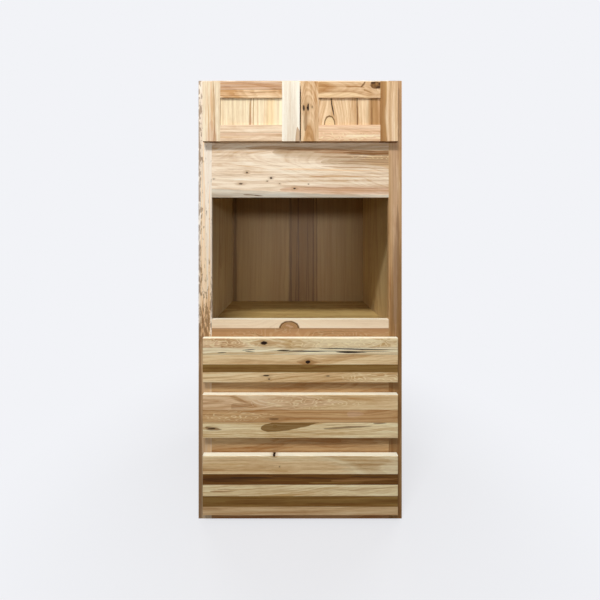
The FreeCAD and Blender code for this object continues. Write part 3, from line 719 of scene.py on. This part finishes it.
dress_board(
    "left_door_meeting_stile", "ZXY", plain(WHITE_SAP, HEART), pith=20, seed=7.9, wander=40,
    figure=0.0, fibre=0.3, streaks=[flame(-30, 78, 90, -16, 20, HEART, 0.7)])
dress_board(
    "right_door_meeting_stile", "ZXY", plain(GOLD, TAN, 24, 12, 0.16), pith=34, seed=3.1, figure=0.75,
    knots=[Knot(134, 12, 14, 4, 0.95), Knot(136, 29, 16, 4, 1.0), Knot(138, 46, 6, 3, 0.5)],
    streaks=[vein(40, 18, 110, 4, 14, BROWN, 0.55)])
dress_board(
    "right_door_top_rail", "XZY", plain(GOLD, TAN, 40, 40, 0.12), pith=40, seed=4.9, wander=45, figure=0.45,
    knots=[Knot(242, 51, 22, 16, 0.95, BROWN), Knot(251, 42, 11, 6, 0.9, BURL),
           Knot(230, 60, 9, 5, 0.9, BURL), Knot(259, 56, 5, 8, 0.8, BURL), Knot(245, 55, 5, 3, 0.7, HEART),
           Knot(238, 47, 4, 2, 0.7, BARK, BURL)],
    streaks=[vein(120, 45, 80, 2, 6, HEART, 0.9), vein(180, 46, 36, 18, 5, BROWN, 0.9),
             vein(204, 63, 28, -13, 5, BROWN, 0.9), vein(192, 41, 40, -2, 7, HEART, 0.9),
             vein(-20, 10, 320, 4, 16, STRAW, 0.5), vein(-30, 44, 220, 3, 6, HEART, 0.6),
             vein(20, 26, 260, -5, 5, HEART, 0.6)])
dress_board(
    "right_door_bottom_rail", "XZY", plain(SALMON, STRAW, 50, 60, 0.1), pith=20, seed=5.8, wander=60,
    figure=0.35,
    streaks=[vein(-40, 48, 360, 4, 9, ROSE, 0.5), vein(120, 20, 200, 4, 10, CREAM, 0.7),
             curly(-40, 18, 400, 0, 34)])
dress_board(
    "right_door_panel", "ZXY", plain(PEACH, STRAW, 60, 60, 0.04), pith=150, seed=8.8, figure=0.5,
    knots=[Knot(12, 54, 34, 21, 0.9, STRAW, BROWN)],
    streaks=[crack(44, 59, 110, 0, 2.2), vein(-60, 165, 260, 2, 6, BROWN, 0.95),
             vein(-60, 240, 260, -8, 60, HEART, 0.95), vein(-30, 226, 190, 0, 6, BROWN, 0.5),
             vein(-60, 110, 260, 0, 5, TAN, 0.7), vein(-40, 20, 220, 4, 5, TAN, 0.6)])
dress_board(
    "right_door_hinge_stile", "ZXY", plain(GOLD, HEART, 66, 50, 0.03), pith=-14, seed=9.6, wander=40,
    figure=0.35, streaks=[vein(-60, 50, 300, 4, 12, PINK, 0.4)])


# Drawers: slab fronts of glued staves with knots and splits, on plain birch boxes

dress_board(
    "upper_drawer_front", "XZY",
    [Stave(42.5, STRAW, TAN, 0, 90, 0.12), Stave(73.6, OLIVE, BROWN, 80, 80, 0.01),
     Stave(113.5, STRAW, GOLD, 0, 110, 0.05), Stave(141.5, IVORY, CREAM, 0, 90, 0.03),
     Stave(180, BUTTER, GOLD, 60, 40, 0.09)],
    pith=150, seed=1.9, wander=45, figure=0.65, pale_edge=0.95,
    knots=[Knot(249, 161, 14, 7, 1.0), Knot(427, 84, 10, 7, 1.0), Knot(259, 29, 12, 3, 0.95),
           Knot(270, 15, 4, 3, 0.8), Knot(508, 27, 8, 3, 0.6)],
    streaks=[crack(470, 139, 330, -6, 4), crack(265, 130, 525, -4, 2.4), crack(540, 124, 130, -1, 5),
             crack(160, 131, 60, 4, 3), crack(172, 127, 44, -3, 2.4), crack(300, 131, 60, 1, 3.4),
             crack(300, 125, 260, 3, 2), crack(60, 121, 40, 2, 3), vein(190, 160, 140, 0, 14, TAN, 0.6),
             vein(396, 60, 130, 6, 12, BROWN, 0.8), vein(380, 84, 110, 0, 10, HEART, 0.7),
             curly(-60, 161, 380, 0, 50), curly(330, 161, 900, 0, 50), curly(560, 21, 400, 0, 40)])
dress_board(
    "middle_drawer_front", "XZY",
    [Stave(63.5, HONEY, HEART, 0, 120, 0.04), Stave(114.9, TAN, GOLD, 60, 70, 0.03),
     Stave(176, STRAW, GOLD, 52, 20, 0.05)],
    pith=150, seed=4.4, wander=50, figure=0.7, pale_edge=0.95,
    knots=[Knot(290, 78, 20, 5, 0.45), Knot(38, 39, 16, 3, 0.9), Knot(200, 170, 26, 14, 0.0),
           Knot(293, 50, 7, 5, 0.6, OLIVE, BROWN)],
    streaks=[flame(236, 40, 272, 34, 30, OLIVE, 0.93, blunt=0.5), vein(490, 40, 210, 10, 9),
             vein(585, 99, 70, 0, 26, ROSE, 0.6), vein(10, 42, 70, -6, 8), vein(690, 61, 60, 0, 5),
             flame(116, 130, 96, 26, 15, HEART, 0.5), vein(118, 121, 96, 26, 4, IVORY, 0.6),
             vein(201, 166, 74, -32, 5, IVORY, 0.5), vein(222, 167, 96, -34, 5, IVORY, 0.45),
             vein(196, 164, 16, -30, 7, IVORY, 0.5), vein(110, 170, 80, -12, 9, HEART, 0.5),
             curly(250, 150, 420, -10, 60, 0.5), curly(10, 90, 300, 0, 40, 0.5)])
dress_board(
    "lower_drawer_front", "XZY",
    [Stave(36, GREY_GOLD, GOLD, 0, 80, 0.08), Stave(79, OLIVE, BROWN, 70, 70, 0.02),
     Stave(125, HONEY, STRAW, 0, 90, 0.1), Stave(168, BROWN, OLIVE, 78, 80, 0.01),
     Stave(242, BUTTER, STRAW, 132, 130, 0.01)],
    pith=200, seed=7.7, wander=45, figure=0.6, pale_edge=1.0,
    knots=[Knot(290, 245, 6, 6, 1.0), Knot(312, 198, 2, 2, 0.8)],
    streaks=[vein(30, 96, 110, 4, 9, HEART, 0.8), vein(60, 108, 90, -4, 5, HEART, 0.7),
             vein(590, 102, 190, 14, 6, HEART, 0.5), vein(0, 146, 300, 4, 22, BARK, 0.45),
             vein(280, 158, 300, -10, 10, BARK, 0.4), vein(520, 140, 300, 10, 14, HEART, 0.5),
             vein(110, 153, 210, 2, 8, BARK, 0.5), vein(600, 158, 170, -4, 6, BARK, 0.5),
             vein(430, 133, 230, 0, 7, OLIVE, 0.8), vein(90, 58, 270, 4, 9),
             vein(420, 50, 300, -6, 8, BROWN, 0.65)])
BOX_WOOD = wood("drawer box wood", "XZY", plain(BIRCH, GOLD, 0, 200), seed=2.2, figure=0.3)
SIDE_WOOD = wood("drawer side wood", "YZX", plain(BIRCH, GOLD, 0, 200), seed=3.7, figure=0.3)
BOTTOM_WOOD = wood("drawer bottom wood", "XYZ", plain(BIRCH, STRAW, 0, 300), seed=5.1, figure=0.35,
                   plies=True)
for drawer in DRAWERS:
    dress(BOX_WOOD, drawer + "_drawer_box_front", drawer + "_drawer_box_back")
    dress(SIDE_WOOD, drawer + "_drawer_left_side", drawer + "_drawer_right_side")
    dress(BOTTOM_WOOD, drawer + "_drawer_bottom")


# Carcass of veneered plywood: upright grain on sides and back, level grain on the decks

for side, seed, veneer in (("left", 3.5, LEFT_VENEER), ("right", 6.2, RIGHT_VENEER)):
    dress_board(
        side + "_side_panel", "ZYX", plain(veneer, DARK_SIDE, 90, 40, 0.06), pith=300, seed=seed, wander=120,
        figure=0.4, fibre=0.2, plies=True, sheen=0.5, rough=0.75)
# Dark lines in the back's veneer: start, run, rise, width and share of each
DARK_LINES = [(-900, 365, 3600, 0, 22, 0.8), (-900, 414, 3600, 0, 13, 0.8), (-900, 506, 3600, 0, 11, 0.75),
              (-900, 527, 3600, 0, 11, 0.75), (500, 396, 700, 8, 8, 0.7), (700, 462, 700, 14, 7, 0.6),
              (700, 480, 800, -12, 7, 0.5), (-900, 24, 3600, 0, 28, 0.8)]
dress_board(
    "back_panel", "ZXY", plain(VENEER, DARK_VENEER, 88, 30, 0.02), pith=440, seed=4.6, wander=60, figure=0.3,
    fibre=0.14, plies=True, outside=1, sheen=0.5, rough=0.75,
    streaks=[vein(-900, 560, 2200, -40, 140, DARK_VENEER, 0.7),
             vein(-900, 250, 2300, 30, 130, DARK_VENEER, 0.7),
             vein(-900, 441, 3600, 0, 140, STRIP_VENEER, 0.65, soft=0.35),
             *[vein(*line, SHADED_VENEER, share) for *line, share in DARK_LINES]])
for name, out, decks in (("deck veneer", 0, ["oven_shelf", "cupboard_floor"]),
                         ("top veneer", 1, ["top_panel"]), ("bottom veneer", -1, ["bottom_panel"])):
    dress(wood(name, "XYZ", plain(DECK_VENEER, DARK_VENEER, 60), seed=8.1, wander=80, figure=0.5, plies=True,
               outside=out, sheen=0.3), *decks)
dress(wood("nailer wood", "XZY", plain(GOLD, TAN), seed=1.1), "hanging_rails")
dress(wood("cleat wood", "YZX", plain(GOLD, TAN), seed=1.7), "shelf_cleats")


# Fittings: plated hinges and screws, enamelled runners, nylon rollers and plastic brackets

ZINC = finish("zinc plate", (0.62, 0.60, 0.56, 1.0), 0.28, 0.2, 1.0)
NICKEL = finish("nickel plate", (0.66, 0.63, 0.58, 1.0), 0.18, 0.2, 1.0, 0.05)
ENAMEL = finish("cream enamel", tone(232, 226, 208), 0.32)
NYLON = finish("nylon", tone(238, 236, 228), 0.42, 0.1)
SOCKET_PLASTIC = finish("bracket plastic", tone(214, 198, 168), 0.45)
CLEAR_RUBBER = finish("bumper rubber", tone(226, 224, 216), 0.2, 0.1)

dress(NICKEL, "left_hinge_cups", "right_hinge_cups", "hinge_arms")
dress(ENAMEL, "cabinet_runners", *[drawer + "_drawer_runners" for drawer in DRAWERS])
dress(NYLON, *[f"{drawer}_{end}_rollers" for drawer in DRAWERS for end in ("front", "rear")])
dress(SOCKET_PLASTIC, "runner_brackets")


# Small fasteners and bumpers

# A round head: its radius and height in millimetres, the exponent of its crown and how deep its cross is
Head = namedtuple("Head", "radius height crown recess", defaults=[3, 0.0])
CUP_SCREW = Head(3.6, 1.5, recess=0.7)
PLATE_SCREW = Head(3.6, 1.4, recess=0.7)
LIP_SCREW = Head(3.2, 1.3, recess=0.7)
FRONT_SCREW = Head(5.5, 2.2, recess=0.7)
RIVET = Head(4.4, 1.3)
BUMPER = Head(4.2, 2.6, crown=4)

SIDES, RINGS = 24, 8
SHARP_ANGLE = math.radians(50)

# The cross of a screw in shares of its radius: half width and length of a bar, and the slopes of its walls
BAR_HALF, BAR_WALL, BAR_LENGTH, BAR_END = 0.2, 0.08, 0.68, 0.1


def add_object(name, data):
    """A new object in the scene."""
    made = bpy.data.objects.new(name, data)
    bpy.context.scene.collection.objects.link(made)
    return made


def heads(name, centres, axis, head, body, material):
    """Round heads that stand on a flat face. At the share s of its radius a head is (1 - s^crown)^(1/2)
    of its height, and a cross recess is sunk where the smaller of the two offsets from its middle lines
    is within a bar and the larger within the bar's length. A flat underside closes it."""
    radius, height, recess = head.radius * MM, head.height * MM, head.recess
    axis = np.array(axis, float)
    turn = np.linspace(0, 2 * np.pi, SIDES, endpoint=False)
    share, turn = np.meshgrid(np.sin(np.linspace(0, np.pi / 2, RINGS + 1))[1:], turn, indexing="ij")
    x, y = share * np.cos(turn), share * np.sin(turn)
    near, far = np.minimum(abs(x), abs(y)), np.maximum(abs(x), abs(y))
    sunk = np.clip((BAR_HALF - near) / BAR_WALL, 0, 1) * np.clip((BAR_LENGTH - far) / BAR_END, 0, 1)
    rise = np.sqrt(np.clip(1 - share ** head.crown, 0, 1)) * (1 - recess * sunk)
    shape = np.stack([x * radius, y * radius, rise * height], axis=-1).reshape(-1, 3)
    shape = np.vstack([shape, [[0, 0, height * (1 - recess)], [0, 0, 0]]])
    level = np.roll(axis, 1)
    basis = np.stack([level, np.cross(axis, level), axis])
    centres = np.array(centres, float)
    points = (centres[:, None, :] + shape @ basis).reshape(-1, 3)

    here = np.arange(SIDES)
    after = np.roll(here, -1)
    inner = np.arange(RINGS - 1)[:, None] * SIDES
    rings = np.stack([inner + here, inner + SIDES + here, inner + SIDES + after, inner + after], axis=-1)
    foot = (RINGS - 1) * SIDES
    pole = np.full(SIDES, RINGS * SIDES)
    top = np.stack([pole, here, after], axis=-1)
    under = np.stack([pole + 1, foot + after, foot + here], axis=-1)
    step = (np.arange(len(centres)) * len(shape))[:, None, None]
    faces = [face for part in (rings.reshape(-1, 4), top, under)
             for face in (step + part).reshape(-1, part.shape[1]).tolist()]

    mesh = bpy.data.meshes.new(name)
    mesh.from_pydata(points.tolist(), [], faces)
    mesh.shade_smooth()
    mesh.set_sharp_from_angle(angle=SHARP_ANGLE)
    mesh.materials.append(material)
    piece = add_object(name, mesh)
    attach(piece, body)


# Places of the fasteners on the CAD's hinges, runners, boxes and fronts
EAR_REACH, EAR_STEP, EAR_FROM_EDGE = 29.5 * MM, 23.5 * MM, 7.5 * MM
PLATE_T, PLATE_STEP, PLATE_MIDDLE = 1.6 * MM, 13 * MM, -284.5 * MM
AXLE_FROM_SIDE = 3.9 * MM
LIP_T, LIP_FROM_SIDE, LIP_FRONT, LIP_REAR, LIP_COUNT = 1.2 * MM, 6 * MM, 60 * MM, 70 * MM, 4
FRONT_X, FRONT_LEVELS = 0.24, (0.3, 0.75)
DRAWER_BUMPER_IN, DRAWER_BUMPER_DOWN = 10 * MM, 7 * MM
DOOR_BUMPER_IN, DOOR_BUMPER_UP, DOOR_BUMPER_DOWN = 14 * MM, 6 * MM, 10 * MM


def add_hinge_screws():
    """Two screws through the ears of each cup, and two through each arm's plate into the stile's edge."""
    for side, way in (("left", 1), ("right", -1)):
        low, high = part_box(side + "_hinge_cups")
        ear = high[0] - EAR_FROM_EDGE if way > 0 else low[0] + EAR_FROM_EDGE
        levels = (low[2] + EAR_REACH, high[2] - EAR_REACH)
        heads(side + "_cup_screws",
              [(ear, high[1], level + step) for level in levels for step in (-EAR_STEP, EAR_STEP)],
              (0, 1, 0), CUP_SCREW, side + "_door", NICKEL)
        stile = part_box(side + "_stile")
        face = stile[1][0] + PLATE_T if way > 0 else stile[0][0] - PLATE_T
        heads(side + "_plate_screws",
              [(face, PLATE_MIDDLE, level + step) for level in levels for step in (-PLATE_STEP, PLATE_STEP)],
              (way, 0, 0), PLATE_SCREW, "cabinet", NICKEL)


def add_runner_rivets(drawer):
    """Rivet heads on the roller axles: the front ones stay with the cabinet, the rear ones ride along."""
    for end, body, way in (("front", "cabinet", -1), ("rear", drawer + "_drawer", 1)):
        low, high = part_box(f"{drawer}_{end}_rollers")
        y, z = (low[1] + high[1]) / 2, (low[2] + high[2]) / 2
        half = high[0] if way > 0 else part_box(drawer + "_drawer_right_side")[1][0] + AXLE_FROM_SIDE
        for side, turn in (("left", -1), ("right", 1)):
            heads(f"{drawer}_{end}_rivet_{side}", [(turn * half, y, z)], (turn * way, 0, 0), RIVET, body,
                  ZINC)


def add_drawer_screws(drawer):
    """Screws up through the runners' lips, and from inside the box into the slab front."""
    body = drawer + "_drawer"
    low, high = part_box(drawer + "_drawer_left_side")
    rows = np.linspace(low[1] + LIP_FRONT, high[1] - LIP_REAR, LIP_COUNT)
    x = abs(low[0]) - LIP_FROM_SIDE
    heads(drawer + "_lip_screws", [(side * x, y, low[2] - LIP_T) for side in (-1, 1) for y in rows],
          (0, 0, -1), LIP_SCREW, body, ZINC)
    low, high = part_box(drawer + "_drawer_box_front")
    levels = [low[2] + share * (high[2] - low[2]) for share in FRONT_LEVELS]
    heads(drawer + "_front_screws", [(x, high[1], z) for x in (-FRONT_X, FRONT_X) for z in levels],
          (0, 1, 0), FRONT_SCREW, body, ZINC)


def add_bumpers():
    """Small clear bumpers where doors and drawer fronts meet the face frame."""
    for drawer in DRAWERS:
        low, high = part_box(drawer + "_drawer_front")
        ends = (low[0] + DRAWER_BUMPER_IN, high[0] - DRAWER_BUMPER_IN)
        heads(drawer + "_drawer_bumpers", [(x, high[1], high[2] - DRAWER_BUMPER_DOWN) for x in ends],
              (0, 1, 0), BUMPER, drawer + "_drawer", CLEAR_RUBBER)
    for side, way in (("left", -1), ("right", 1)):
        low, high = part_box(side + "_door_meeting_stile")
        x = high[0] - DOOR_BUMPER_IN if way < 0 else low[0] + DOOR_BUMPER_IN
        levels = (low[2] + DOOR_BUMPER_UP, high[2] - DOOR_BUMPER_DOWN)
        heads(side + "_door_bumpers", [(x, high[1], z) for z in levels], (0, 1, 0), BUMPER, side + "_door",
              CLEAR_RUBBER)


# Lamps, floor and camera

PHOTO_SIZE = 600
EYE_PIXEL_X, EYE_PIXEL_Y = 292.4, 236.0
FOCAL_PIXELS = 284.9
EYE = (-0.032, -1.469, 1.165)
SENSOR = 36.0

AMBIENT_TONE = (1.0, 0.98, 0.95, 1.0)
FLOOR_GREY, FLOOR_BOUNCE = (0.72, 0.72, 0.73, 1.0), (0.08, 0.08, 0.08, 1.0)
FLOOR_ROUGH = 0.9


def add_camera():
    """A level wide view with the photograph's eye point. The shift puts that point off the middle."""
    data = bpy.data.cameras.new("camera")
    data.sensor_width = SENSOR
    data.lens = FOCAL_PIXELS * SENSOR / PHOTO_SIZE
    data.shift_x = (PHOTO_SIZE / 2 - EYE_PIXEL_X) / PHOTO_SIZE
    data.shift_y = (EYE_PIXEL_Y - PHOTO_SIZE / 2) / PHOTO_SIZE
    camera = add_object("camera", data)
    camera.location = EYE
    camera.rotation_euler = (math.pi / 2, 0.0, 0.0)
    bpy.context.scene.camera = camera


def add_lamp(name, place, target, width, height, power):
    """A soft lamp, turned to face a point."""
    data = bpy.data.lights.new(name, "AREA")
    data.shape = "RECTANGLE"
    data.size, data.size_y = width, height
    data.energy = power
    lamp = add_object(name, data)
    lamp.location = place
    aim = np.subtract(target, place)
    lamp.rotation_euler = (math.atan2(math.hypot(aim[0], aim[1]), -aim[2]), 0.0, math.atan2(-aim[0], aim[1]))


def seen(t):
    """1 for what the camera sees, straight or in gloss and glass, and 0 for light that only bounces."""
    path = t.node("LightPath").outputs
    return t.math("MAXIMUM", path["Is Camera Ray"],
                  t.math("MAXIMUM", path["Is Glossy Ray"], path["Is Transmission Ray"]))


def add_world(ambient):
    """The photograph's plain ground for the camera, and a faint even light for the rest."""
    world = bpy.data.worlds.new("studio")
    bpy.context.scene.world = world
    world.use_nodes = True
    t = Tree(world.node_tree)
    ground = world.node_tree.nodes["Background"]
    t.fill(ground, Color=BACKGROUND)
    light = t.node("Background", {"Color": AMBIENT_TONE, "Strength": ambient}).outputs[0]
    mixed = t.node("MixShader", {0: seen(t), 1: light, 2: ground.outputs[0]}).outputs[0]
    t.fill(world.node_tree.nodes["World Output"], Surface=mixed)


def add_floor(size, shadow, full, fade):
    """A pale floor that melts into the background. It shows a share of the cabinet's soft shadow near the
    middle, less from the full distance on and none beyond the fade."""
    half = size / 2
    mesh = bpy.data.meshes.new("floor")
    corners = [(-half, -half, 0), (half, -half, 0), (half, half, 0), (-half, half, 0)]
    mesh.from_pydata(corners, [], [(0, 1, 2, 3)])
    floor = add_object("floor", mesh)
    material, t, shader = new_material("pale floor")
    t.fill(shader, Base_Color=FLOOR_GREY, Roughness=FLOOR_ROUGH, Specular_IOR_Level=0.0)
    glow = t.node("Emission", {"Color": BACKGROUND}).outputs[0]
    far = t.vector("LENGTH", t.node("TexCoord").outputs["Object"])
    near = t.times(t.smooth(far, fade, full), shadow)
    shown = t.node("MixShader", {0: near, 1: glow, 2: shader.outputs[0]}).outputs[0]
    dim = t.node("BsdfDiffuse", {"Color": FLOOR_BOUNCE}).outputs[0]
    mixed = t.node("MixShader", {0: seen(t), 1: dim, 2: shown}).outputs[0]
    t.fill(material.node_tree.nodes["Material Output"], Surface=mixed)
    mesh.materials.append(material)


add_hinge_screws()
for name in DRAWERS:
    add_runner_rivets(name)
    add_drawer_screws(name)
add_bumpers()

add_camera()
add_lamp("key", (-1.1, -2.6, 4.75), (-1.1, -0.3, 0.9), 1.8, 0.4, 139.0)
add_lamp("overhead", (0.1, -1.3, 3.3), (0.0, -0.4, 0.9), 2.0, 2.0, 20.0)
add_lamp("front", (0.2, -3.4, 1.55), (0.0, -0.3, 0.9), 2.6, 0.35, 34.5)
add_lamp("back left", (-2.4, 2.4, 2.4), (0.0, 0.3, 0.9), 1.6, 1.6, 42.0)
add_lamp("back right", (2.6, 2.0, 2.4), (0.0, 0.3, 0.9), 1.6, 1.6, 46.0)
add_world(ambient=0.05)
add_floor(size=24.0, shadow=0.3, full=0.3, fade=1.5)
bpy.context.scene.view_settings.view_transform = "Standard"
